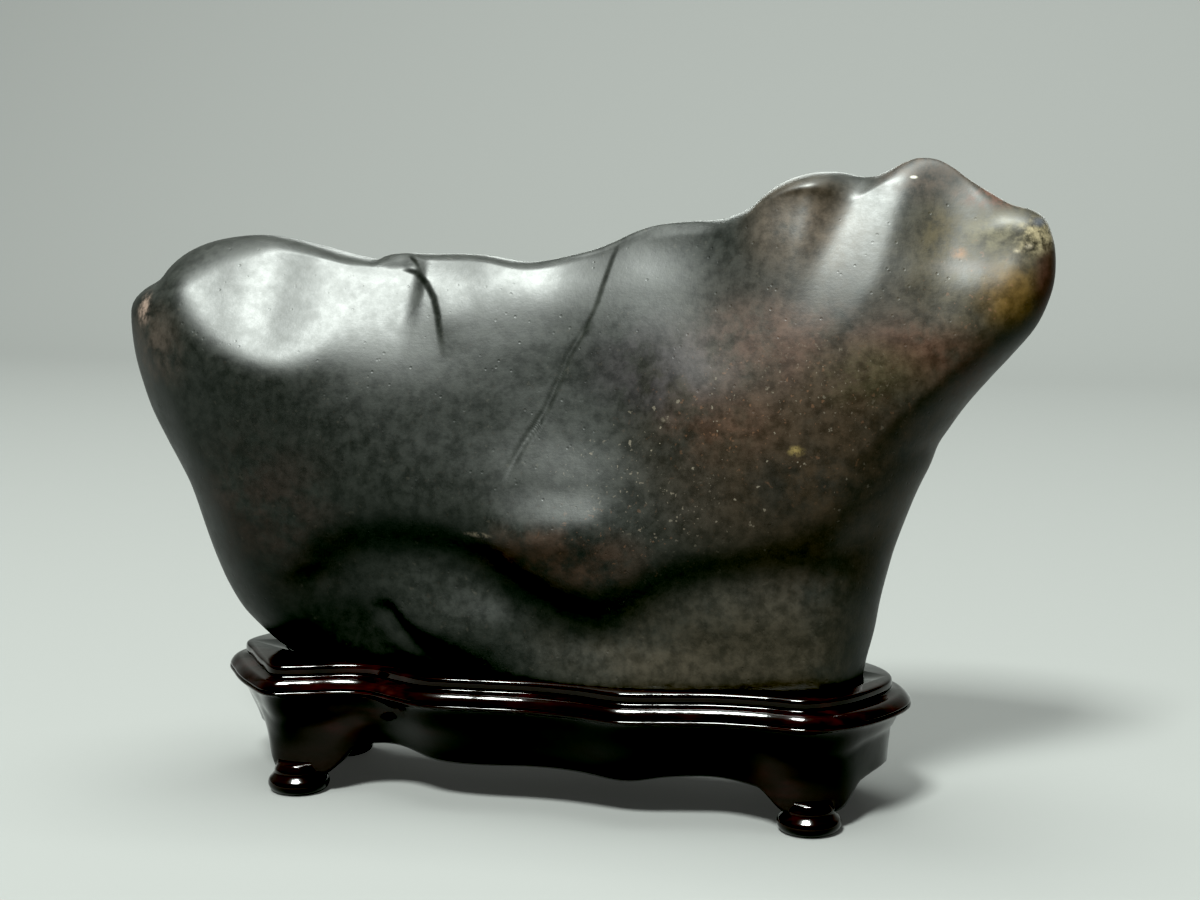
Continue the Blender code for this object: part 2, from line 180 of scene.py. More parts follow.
def place_object(name: str, bm: bmesh.types.BMesh, material: bpy.types.Material | None) -> bpy.types.Object:
    """Turn a bmesh into a smooth-shaded object in the scene.

    Args:
        name: Name of the object and its mesh.
        bm: The mesh being built; it is freed.
        material: Finish of the whole piece, or None for a cutter.

    Returns:
        The new object.
    """
    bmesh.ops.recalc_face_normals(bm, faces=bm.faces)
    mesh = bpy.data.meshes.new(name)
    bm.to_mesh(mesh)
    bm.free()
    mesh.polygons.foreach_set("use_smooth", [True] * len(mesh.polygons))
    if material is not None:
        mesh.materials.append(material)
    obj = bpy.data.objects.new(name, mesh)
    bpy.context.scene.collection.objects.link(obj)
    return obj


def carve(target: bpy.types.Object, tool: bpy.types.Object, operation: str) -> None:
    """Apply one exact Boolean and delete the tool.

    Args:
        target: Piece that is changed.
        tool: Piece that is added or taken away.
        operation: "UNION" or "DIFFERENCE".
    """
    mod = target.modifiers.new("Carve", "BOOLEAN")
    mod.operation = operation
    mod.solver = "EXACT"
    mod.object = tool
    graph = bpy.context.evaluated_depsgraph_get()
    result = bpy.data.meshes.new_from_object(target.evaluated_get(graph))
    target.modifiers.clear()
    target.data = result
    bpy.data.objects.remove(tool, do_unlink=True)


# ---- finishes -------------------------------------------------------------------------------
class ShaderSheet:
    """A material's node tree with short ways to add the nodes that the finishes use."""

    def __init__(self, name: str) -> None:
        """Start a material with its Principled shader and the place on the piece in millimetres.

        Args:
            name: Name of the material.
        """
        self.material = bpy.data.materials.new(name)
        self.material.use_nodes = True
        self.tree = self.material.node_tree
        self.shader = self.tree.nodes["Principled BSDF"]
        coords = self.tree.nodes.new("ShaderNodeTexCoord")
        scale = self.tree.nodes.new("ShaderNodeVectorMath")
        scale.operation = "SCALE"
        scale.inputs["Scale"].default_value = 1 / MM
        self.tree.links.new(coords.outputs["Object"], scale.inputs[0])
        self.place = scale.outputs[0]

    def wire(self, source: Any, target: Any) -> None:
        """Link a socket to a socket, or set the target to a plain value.

        Args:
            source: Socket, number or colour to take.
            target: Input that takes it.
        """
        if isinstance(source, bpy.types.NodeSocket):
            self.tree.links.new(source, target)
        elif isinstance(source, tuple) and len(source) == 3 and target.type == "RGBA":
            target.default_value = (*source, 1.0)
        else:
            target.default_value = source

    def math(self, operation: str, a: Any, b: Any = 0.0, c: Any = 0.0) -> Any:
        """Add a Math node.

        Args:
            operation: Blender's name of the operation.
            a: First value or socket.
            b: Second value or socket.
            c: Third value or socket.

        Returns:
            The result socket.
        """
        node = self.tree.nodes.new("ShaderNodeMath")
        node.operation = operation
        for source, target in zip((a, b, c), node.inputs):
            self.wire(source, target)
        return node.outputs[0]

    def ramp(self, value: Any, low: float, high: float, out_low: float = 0.0, out_high: float = 1.0) -> Any:
        """Map a range smoothly to another.

        Args:
            value: Socket to read.
            low: Value at which the result is out_low.
            high: Value at which the result is out_high.
            out_low: Result at low and below.
            out_high: Result at high and above.

        Returns:
            The result socket.
        """
        node = self.tree.nodes.new("ShaderNodeMapRange")
        node.interpolation_type = "SMOOTHSTEP"
        self.wire(value, node.inputs["Value"])
        ends = (("From Min", low), ("From Max", high), ("To Min", out_low), ("To Max", out_high))
        for name, number in ends:
            node.inputs[name].default_value = number
        return node.outputs["Result"]

    def rescaled_place(self, scale: Sequence[float], shift: Sequence[float]) -> Any:
        """Scale and shift the place on the piece for a pattern to read.

        Args:
            scale: How many times the pattern repeats in a millimetre, along each axis.
            shift: Offset along each axis.

        Returns:
            The vector socket.
        """
        mapping = self.tree.nodes.new("ShaderNodeMapping")
        mapping.inputs["Scale"].default_value = scale
        mapping.inputs["Location"].default_value = shift
        self.wire(self.place, mapping.inputs["Vector"])
        return mapping.outputs[0]

    def noise(self, size: float, detail: float = 3.0, rough: float = 0.5, stretch: Point3 = (1, 1, 1),
              shift: float = 0.0) -> Any:
        """Add cloudy noise.

        Args:
            size: Size of the clouds in millimetres.
            detail: Number of finer layers.
            rough: How strong the finer layers are.
            stretch: How much wider the clouds are along each axis.
            shift: Offset that makes one noise unlike another.

        Returns:
            The noise value socket, about 0 to 1.
        """
        place = self.rescaled_place([1 / (size * s) for s in stretch], (shift, shift * 0.7, shift * 1.3))
        node = self.tree.nodes.new("ShaderNodeTexNoise")
        node.inputs["Scale"].default_value = 1.0
        node.inputs["Detail"].default_value = detail
        node.inputs["Roughness"].default_value = rough
        self.wire(place, node.inputs["Vector"])
        return node.outputs["Fac"]

    def specks(self, size: float, share: float, shift: float = 0.0, core: float = 0.4) -> Any:
        """Scatter small round specks.

        Args:
            size: Distance between neighbouring specks in millimetres.
            share: Radius of a speck as a share of that distance.
            shift: Offset that makes one scatter unlike another.
            core: Share of a speck's radius that is full strength.

        Returns:
            A socket that is 1 inside a speck and 0 outside.
        """
        place = self.rescaled_place((1 / size,) * 3, (shift, shift * 1.7, shift * 0.4))
        node = self.tree.nodes.new("ShaderNodeTexVoronoi")
        node.feature = "F1"
        node.inputs["Scale"].default_value = 1.0
        self.wire(place, node.inputs["Vector"])
        return self.ramp(node.outputs["Distance"], share, share * core)

    def near(self, centre: Point3, reach: Point3, soft: float = 0.6) -> Any:
        """Mask an egg-shaped region of the piece.

        Args:
            centre: Middle of the region in millimetres.
            reach: Half sizes of the region along the axes.
            soft: Share of the reach over which the mask fades.

        Returns:
            A socket that is 1 in the middle and 0 outside.
        """
        shift = self.tree.nodes.new("ShaderNodeVectorMath")
        shift.operation = "SUBTRACT"
        self.wire(self.place, shift.inputs[0])
        shift.inputs[1].default_value = centre
        scale = self.tree.nodes.new("ShaderNodeVectorMath")
        scale.operation = "DIVIDE"
        self.wire(shift.outputs[0], scale.inputs[0])
        scale.inputs[1].default_value = reach
        length = self.tree.nodes.new("ShaderNodeVectorMath")
        length.operation = "LENGTH"
        self.wire(scale.outputs[0], length.inputs[0])
        return self.ramp(length.outputs["Value"], 1.0, 1.0 - soft)

    def mix(self, share: Any, a: Any, b: Any) -> Any:
        """Mix two colours.

        Args:
            share: How much of b, a value or socket.
            a: First colour or socket.
            b: Second colour or socket.

        Returns:
            The colour socket.
        """
        node = self.tree.nodes.new("ShaderNodeMix")
        node.data_type = "RGBA"
        self.wire(share, node.inputs[0])
        self.wire(a, node.inputs[6])
        self.wire(b, node.inputs[7])
        return node.outputs[2]

    def brighten(self, colour: Any, value: Any) -> Any:
        """Make a colour lighter or darker.

        Args:
            colour: Colour socket.
            value: What to multiply it by, a value or socket.

        Returns:
            The colour socket.
        """
        node = self.tree.nodes.new("ShaderNodeHueSaturation")
        self.wire(value, node.inputs["Value"])
        self.wire(colour, node.inputs["Color"])
        return node.outputs[0]

    def bump(self, layers: Sequence[tuple[Any, float]]) -> None:
        """Stack bumps onto the shader's normal.

        Args:
            layers: Height sockets, each with the height in millimetres that its 0 to 1 stands for.
        """
        normal = None
        for height, depth in layers:
            node = self.tree.nodes.new("ShaderNodeBump")
            node.inputs["Distance"].default_value = depth * MM
            self.wire(height, node.inputs["Height"])
            if normal is not None:
                self.wire(normal, node.inputs["Normal"])
            normal = node.outputs[0]
        if normal is not None:
            self.wire(normal, self.shader.inputs["Normal"])


FINE, SMALL, MEDIUM, LARGE = 0.9, 2.6, 7.0, 18.0     # sizes of the stone's colour clouds, mm


@dataclass(frozen=True)
class StainOrGlint:
    """A patch of another colour in the stone broken up by clouds, or the one painted glint."""

    name: str
    centre: Point3
    reach: Point3
    colour: Colour
    share: float = 0.9
    cloud: float = MEDIUM
    gate: Point2 = (0.34, 0.60)
    soft: float = 0.8


@dataclass(frozen=True)
class Flecks:
    """A scatter of small mineral grains that thickens around some places."""

    name: str
    colour: Colour
    size: float
    gate: Point2
    strength: float
    everywhere: float
    places: tuple[tuple[Point3, Point3], ...] = ()


@dataclass(frozen=True)
class PolishedStone:
    """Dark water-worn stone, waxed and rubbed by hand to a satin gloss."""

    shade: Colour = (0.0085, 0.0090, 0.0078)
    roughness: float = 0.48
    broad_variation: float = 0.03
    fine_variation: float = 0.035
    ior: float = 1.42
    wax: float = 0.05
    wax_roughness: float = 0.26
    cloud_detail: float = 5
    cloud_rough: float = 0.66
    dark_and_light: Point2 = (0.60, 1.40)
    swell_height: float = 0.07
    drawn_size: float = 1.3
    drawn_height: float = 0.012
    grit_size: float = 0.6
    grit_height: float = 0.008
    pit_spacing: float = 2.3
    pit_share: float = 0.16
    pit_depth: float = 0.035
    dull: float = 0.12
    dull_places: tuple[tuple[Point3, Point3], ...] = (
        ((90, -6, 122), (17, 30, 15)), ((78, -4, 136), (14, 24, 9)), ((97, -4, 112), (12, 30, 16)))
    stains_and_glint: tuple[StainOrGlint, ...] = (
        StainOrGlint("brown right half", (60, -8, 82), (52, 70, 48), (0.0205, 0.0135, 0.0085), 1.0, LARGE,
              (0.16, 0.5)),
        StainOrGlint("brown foot", (40, -14, 36), (52, 40, 20), (0.03, 0.0245, 0.0175), 0.9, LARGE, (0.25, 0.6)),
        StainOrGlint("reddish low middle", (4, -20, 56), (26, 20, 10), (0.034, 0.019, 0.013), 0.8),
        StainOrGlint("reddish under the neck", (48, -20, 101), (26, 24, 13), (0.033, 0.017, 0.011), 0.8),
        StainOrGlint("reddish middle", (37, -22, 85), (17, 22, 11), (0.033, 0.0175, 0.011), 0.8),
        StainOrGlint("reddish right", (75, -18, 100), (14, 24, 10), (0.036, 0.0175, 0.011), 0.8),
        StainOrGlint("olive under the head", (66, -18, 95), (16, 24, 9), (0.027, 0.023, 0.011), 0.7),
        StainOrGlint("purple grey", (22, -22, 96), (24, 26, 16), (0.019, 0.016, 0.0175), 0.7),
        StainOrGlint("near black belly", (56, -20, 72), (24, 26, 12), (0.009, 0.008, 0.0065), 0.85),
        StainOrGlint("near black right", (74, -14, 82), (13, 30, 18), (0.0105, 0.0088, 0.0068), 0.8),
        StainOrGlint("red edge below the head", (86, -8, 96), (9, 20, 12), (0.03, 0.0125, 0.008), 0.5),
        StainOrGlint("ruddy lower left", (-62, -14, 62), (26, 26, 26), (0.015, 0.0095, 0.0078), 0.7),
        StainOrGlint("ruddy left end", (-88, -6, 96), (14, 24, 14), (0.04, 0.03, 0.024), 0.8),
        StainOrGlint("pinkish chip at the left end", (-92.5, -8, 104.5), (3.6, 12, 4.8), (0.14, 0.1, 0.08), 0.9,
              SMALL),
        StainOrGlint("brown hump", (52, -10, 124), (17, 24, 14), (0.033, 0.023, 0.015), 0.9, MEDIUM, (0.15, 0.5)),
        StainOrGlint("olive head", (87, -6, 118), (25, 34, 23), (0.025, 0.019, 0.009), 0.9, MEDIUM, (0.2, 0.55)),
        StainOrGlint("brown head top", (76, -4, 135), (16, 26, 9), (0.024, 0.0165, 0.012), 0.9, SMALL, (0.2, 0.6)),
        StainOrGlint("red rim of the head", (89, -2, 129.5), (11, 12, 3.2), (0.042, 0.017, 0.011), 0.8, SMALL),
        StainOrGlint("olive beside the dish", (79, -10, 123), (6, 12, 9), (0.026, 0.019, 0.007), 0.8, SMALL),
        StainOrGlint("pale dish", (89.5, -8, 122.3), (9.5, 14, 5.2), (0.072, 0.064, 0.042), 0.8, SMALL,
              (0.15, 0.6)),
        StainOrGlint("orange by the dish", (82.3, -10, 118.6), (2.6, 6, 2.0), (0.09, 0.042, 0.017), 0.9, SMALL),
        StainOrGlint("pinkish lip", (84, -11, 116), (10, 8, 2.4), (0.04, 0.033, 0.029), 0.7, SMALL, (0.1, 0.6)),
        StainOrGlint("dull lip end", (93, -9, 117.3), (6, 8, 2.2), (0.05, 0.042, 0.028), 0.7, SMALL, (0.1, 0.6)),
        StainOrGlint("yellow brown below the lip", (92.5, -8, 110.5), (9, 16, 8.5), (0.058, 0.033, 0.008), 0.85,
              MEDIUM, (0.15, 0.5)),
        StainOrGlint("dark red end", (99.5, -3, 112), (4.0, 16, 11), (0.024, 0.0095, 0.006), 0.9, MEDIUM,
              (0.1, 0.45)),
        StainOrGlint("cream snout rim", (97, -5, 121.8), (5.2, 12, 4.8), (0.18, 0.15, 0.092), 0.9, SMALL,
              (0.36, 0.6)),
        StainOrGlint("blue grey chip", (97.6, -5, 124.6), (2.0, 8, 1.5), (0.04, 0.043, 0.052), 0.9, SMALL,
              (0.1, 0.4)),
        StainOrGlint("pale crumb", (95.8, -7, 120.0), (1.3, 5, 1.0), (0.26, 0.22, 0.16), 0.9, FINE, (0.3, 0.6)),
        StainOrGlint("pale crumb below", (93.4, -8, 119.0), (1.2, 5, 0.8), (0.2, 0.17, 0.12), 0.9, FINE,
              (0.3, 0.6)),
        # painted glint: a small near-white spot on the head's top stands for a sparkle of reflected light,
        # not a grain of the stone
        StainOrGlint("painted glint on the head", (72.8, -6, 133.4), (1.2, 4, 0.5), (0.65, 0.62, 0.52), 1.0, FINE,
              (0.1, 0.4)),
        StainOrGlint("tan fleck", (52.4, -21, 79.8), (2.4, 4, 1.5), (0.13, 0.095, 0.035), 0.9, FINE, (0.38, 0.6)),
        StainOrGlint("orange fleck", (31.6, -19, 69.1), (1.3, 4, 1.3), (0.14, 0.062, 0.032), 0.9, FINE,
              (0.38, 0.6)),
        StainOrGlint("pale fleck", (25.4, -22, 85.0), (1.7, 4, 1.0), (0.14, 0.12, 0.09), 0.9, FINE, (0.38, 0.6)),
        StainOrGlint("pale scratch", (-13.6, -20, 59.9), (4.6, 5, 0.8), (0.15, 0.125, 0.09), 0.9, FINE,
              (0.38, 0.6)),
    )
    scatters: tuple[Flecks, ...] = (
        Flecks("fine pale grains", (0.120, 0.100, 0.076), 0.80, (0.665, 0.720), 0.55, 0.06,
               (((56, -20, 93), (22, 24, 14)), ((25, -20, 67), (22, 22, 12)), ((12, -20, 74), (16, 22, 11)))),
        Flecks("rusty grains", (0.080, 0.040, 0.022), 1.00, (0.655, 0.710), 0.55, 0.05,
               (((48, -20, 86), (40, 30, 24)), ((16, -20, 60), (26, 24, 12)), ((86, -8, 112), (16, 26, 16)))),
        Flecks("larger pale grains", (0.130, 0.112, 0.085), 1.60, (0.700, 0.735), 0.75, 0.08,
               (((40, -20, 78), (44, 30, 26)),)),
    )

    def gathered(self, sheet: ShaderSheet, places: Sequence[tuple[Point3, Point3]], outside: float) -> Any:
        """Join several soft places into one mask.

        Args:
            sheet: Node sheet to add to.
            places: Centre and reach of each place in millimetres.
            outside: Value away from all of them.

        Returns:
            The mask socket.
        """
        mask = outside
        for centre, reach in places:
            mask = sheet.math("MAXIMUM", mask, sheet.near(centre, reach, 0.9))
        return mask

    def make(self) -> bpy.types.Material:
        """Build the stone's material."""
        sheet = ShaderSheet("polished_dark_stone")
        clouds = {size: sheet.noise(size, self.cloud_detail, self.cloud_rough, shift=3.1 * size)
                  for size in (FINE, SMALL, MEDIUM, LARGE)}
        colour = self.shade
        for stain_or_glint in self.stains_and_glint:
            cloud = sheet.ramp(clouds[stain_or_glint.cloud], *stain_or_glint.gate)
            spread = sheet.near(stain_or_glint.centre, stain_or_glint.reach, stain_or_glint.soft)
            share = sheet.math("MULTIPLY", sheet.math("MULTIPLY", spread, cloud), stain_or_glint.share)
            colour = sheet.mix(share, colour, stain_or_glint.colour)
        colour = sheet.brighten(colour, sheet.ramp(clouds[SMALL], 0.30, 0.70, *self.dark_and_light))
        for flecks in self.scatters:
            spread = self.gathered(sheet, flecks.places, flecks.everywhere)
            dots = sheet.ramp(sheet.noise(flecks.size, 2, 0.5, shift=5.3 * flecks.size), *flecks.gate)
            share = sheet.math("MULTIPLY", sheet.math("MULTIPLY", dots, spread), flecks.strength)
            colour = sheet.mix(share, colour, flecks.colour)
        sheet.wire(colour, sheet.shader.inputs["Base Color"])
        broad = sheet.ramp(clouds[MEDIUM], 0.25, 0.75, self.roughness - self.broad_variation,
                           self.roughness + self.broad_variation)
        fine = sheet.ramp(clouds[SMALL], 0.30, 0.70, -self.fine_variation, self.fine_variation)
        dull = sheet.math("MULTIPLY", self.gathered(sheet, self.dull_places, 0.0), self.dull)
        rough = sheet.math("ADD", sheet.math("ADD", broad, fine), dull)
        sheet.wire(rough, sheet.shader.inputs["Roughness"])
        sheet.shader.inputs["IOR"].default_value = self.ior
        sheet.shader.inputs["Coat Weight"].default_value = self.wax
        sheet.shader.inputs["Coat Roughness"].default_value = self.wax_roughness
        drawn = sheet.noise(self.drawn_size, 3, 0.6, stretch=(4, 4, 1), shift=1.0)
        grit = sheet.noise(self.grit_size, 2, 0.6, shift=4.0)
        pits = sheet.math("MULTIPLY", sheet.specks(self.pit_spacing, self.pit_share, 8.0),
                          sheet.ramp(clouds[MEDIUM], 0.42, 0.60))
        sheet.bump([(clouds[MEDIUM], self.swell_height), (drawn, self.drawn_height),
                    (grit, self.grit_height), (pits, -self.pit_depth)])
        return sheet.material


@dataclass(frozen=True)
class LacqueredWood:
    """Close-grained dark wood under red-black lacquer."""

    dark: Colour = (0.0045, 0.0032, 0.0030)
    red: Colour = (0.0165, 0.0060, 0.0060)
    roughness: float = 0.085
    variation: float = 0.07
    ior: float = 1.42
    grain_size: float = 2.2
    grain_height: float = 0.02
    blush_size: float = 18
    cloud_size: float = 6
    wave_size: float = 3.5
    wave_height: float = 0.05

    def make(self) -> bpy.types.Material:
        """Build the wood's material."""
        sheet = ShaderSheet("lacquered_dark_wood")
        grain = sheet.noise(self.grain_size, 4, 0.6, stretch=(9, 1, 1))
        blush = sheet.noise(self.blush_size, 4, 0.6, shift=4.0)
        share = sheet.math("MULTIPLY", sheet.ramp(grain, 0.35, 0.75),
                           sheet.ramp(blush, 0.45, 0.75, 0.10, 0.9))
        sheet.wire(sheet.mix(share, self.dark, self.red), sheet.shader.inputs["Base Color"])
        rough = sheet.ramp(sheet.noise(self.cloud_size, 5, 0.6, shift=8.0), 0.3, 0.8, self.roughness,
                           self.roughness + self.variation)
        sheet.wire(rough, sheet.shader.inputs["Roughness"])
        sheet.shader.inputs["IOR"].default_value = self.ior
        wave = sheet.noise(self.wave_size, 3, 0.5, shift=6.0)
        sheet.bump([(grain, self.grain_height), (wave, self.wave_height)])
        return sheet.material


@dataclass(frozen=True)
class PaleCloth:
    """Plain pale grey ground, with a faint painted glow that lifts its shade as fill light would."""

    colour: Colour = (0.140, 0.142, 0.139)
    roughness: float = 0.95
    sheen: float = 0.1
    # painted light: the ground glows faintly by itself, lifting its shaded parts under and beside the stand
    shade_lifting_glow_colour: Colour = (0.97, 1.0, 0.95)
    shade_lifting_glow: float = 0.045

    def make(self) -> bpy.types.Material:
        """Build the ground's material."""
        sheet = ShaderSheet("pale_ground")
        sheet.shader.inputs["Base Color"].default_value = (*self.colour, 1.0)
        sheet.shader.inputs["Roughness"].default_value = self.roughness
        sheet.shader.inputs["Specular IOR Level"].default_value = self.sheen
        # painted fill light: this glow brightens the ground where it lies in shade
        sheet.shader.inputs["Emission Color"].default_value = (*self.shade_lifting_glow_colour, 1.0)
        sheet.shader.inputs["Emission Strength"].default_value = self.shade_lifting_glow
        return sheet.material


# ---- the stone ------------------------------------------------------------------------------
CRISP_TAPER = 5.0                       # a crisp mark fades over a fifth of its path at both ends
CRISP_POWER = 1.3
LEDGE_START, LEDGE_END = 3.0, 8.0       # a ledge fades over its first third and its last eighth
FACET_THINNEST, FACET_SOFTNESS = 1.2, 1.6   # where a facet stops cutting into the stone, mm


@dataclass(frozen=True)
class WornMark:
    """One groove, ridge, dish or lump worn into a face of the stone."""

    name: str
    path: tuple[Point2, ...]
    width: float
    height: float
    kind: MarkKind = MarkKind.SOFT
    right_width: float | None = None
    face: Face = Face.FRONT

    def rise(self, x: Array, z: Array) -> Array:
        """Tell how far the mark lifts the face.

        Args:
            x: Across places on the face.
            z: Heights on the face.

        Returns:
            The lift in millimetres, negative where it sinks.
        """
        away, share, right = path_distance(self.path, x, z)
        width = np.where(right, self.right_width or self.width, self.width)
        if self.kind is MarkKind.CRISP:
            taper = smooth_step(np.minimum(share, 1 - share) * CRISP_TAPER)
            return self.height * taper * np.clip(1 - away / width, 0, 1) ** CRISP_POWER
        if self.kind is MarkKind.LEDGE:
            taper = smooth_step(share * LEDGE_START) * smooth_step((1 - share) * LEDGE_END)
            rim = np.where(right, smooth_step(0.5 + 0.5 * away / self.width),
                           smooth_step(0.5 - 0.5 * away / self.width))
            return self.height * taper * rim * np.exp(-np.where(right, away / width, 0) ** 2)
        return self.height * np.exp(-(away / width) ** 2)


@dataclass(frozen=True)
class WornFacet:
    """One nearly flat plane worn down a face of the stone.

    The plane stands out by depth at its anchor, and lean is how that changes across and up. It runs up
    and down the face, moving across by slant for each step up. Further across than reach it curls away
    from the stone.
    """

    name: str
    anchor: Point2
    depth: float
    lean: Point2
    blend: float
    reach: float
    slant: float = 0.0
    curl: float = 0.02
    face: Face = Face.FRONT

    def trim(self, depth: Array, x: Array, z: Array) -> Array:
        """Cut a face back to the plane, with a soft edge.

        Args:
            depth: How far the face stands out.
            x: Across places on the face.
            z: Heights on the face.

        Returns:
            The trimmed depth.
        """
        across, up = x - self.anchor[0], z - self.anchor[1]
        beyond = np.maximum(np.abs(across - self.slant * up) - self.reach, 0)
        plane = self.depth + self.lean[0] * across + self.lean[1] * up
        plane = 0.5 * (plane + FACET_THINNEST + np.hypot(plane - FACET_THINNEST, FACET_SOFTNESS))
        plane = plane + self.curl * beyond ** 2
        share = np.clip(0.5 + 0.5 * (depth - plane) / self.blend, 0, 1)
        return depth * (1 - share) + plane * share - self.blend * share * (1 - share)


CREASE: tuple[Point2, ...] = ((-7.1, 73.9), (-4.8, 78.7), (-0.8, 85.2), (1.9, 92), (3.5, 96.6),
                             (6.4, 101.6))      # middle of the long crease on the front, mm


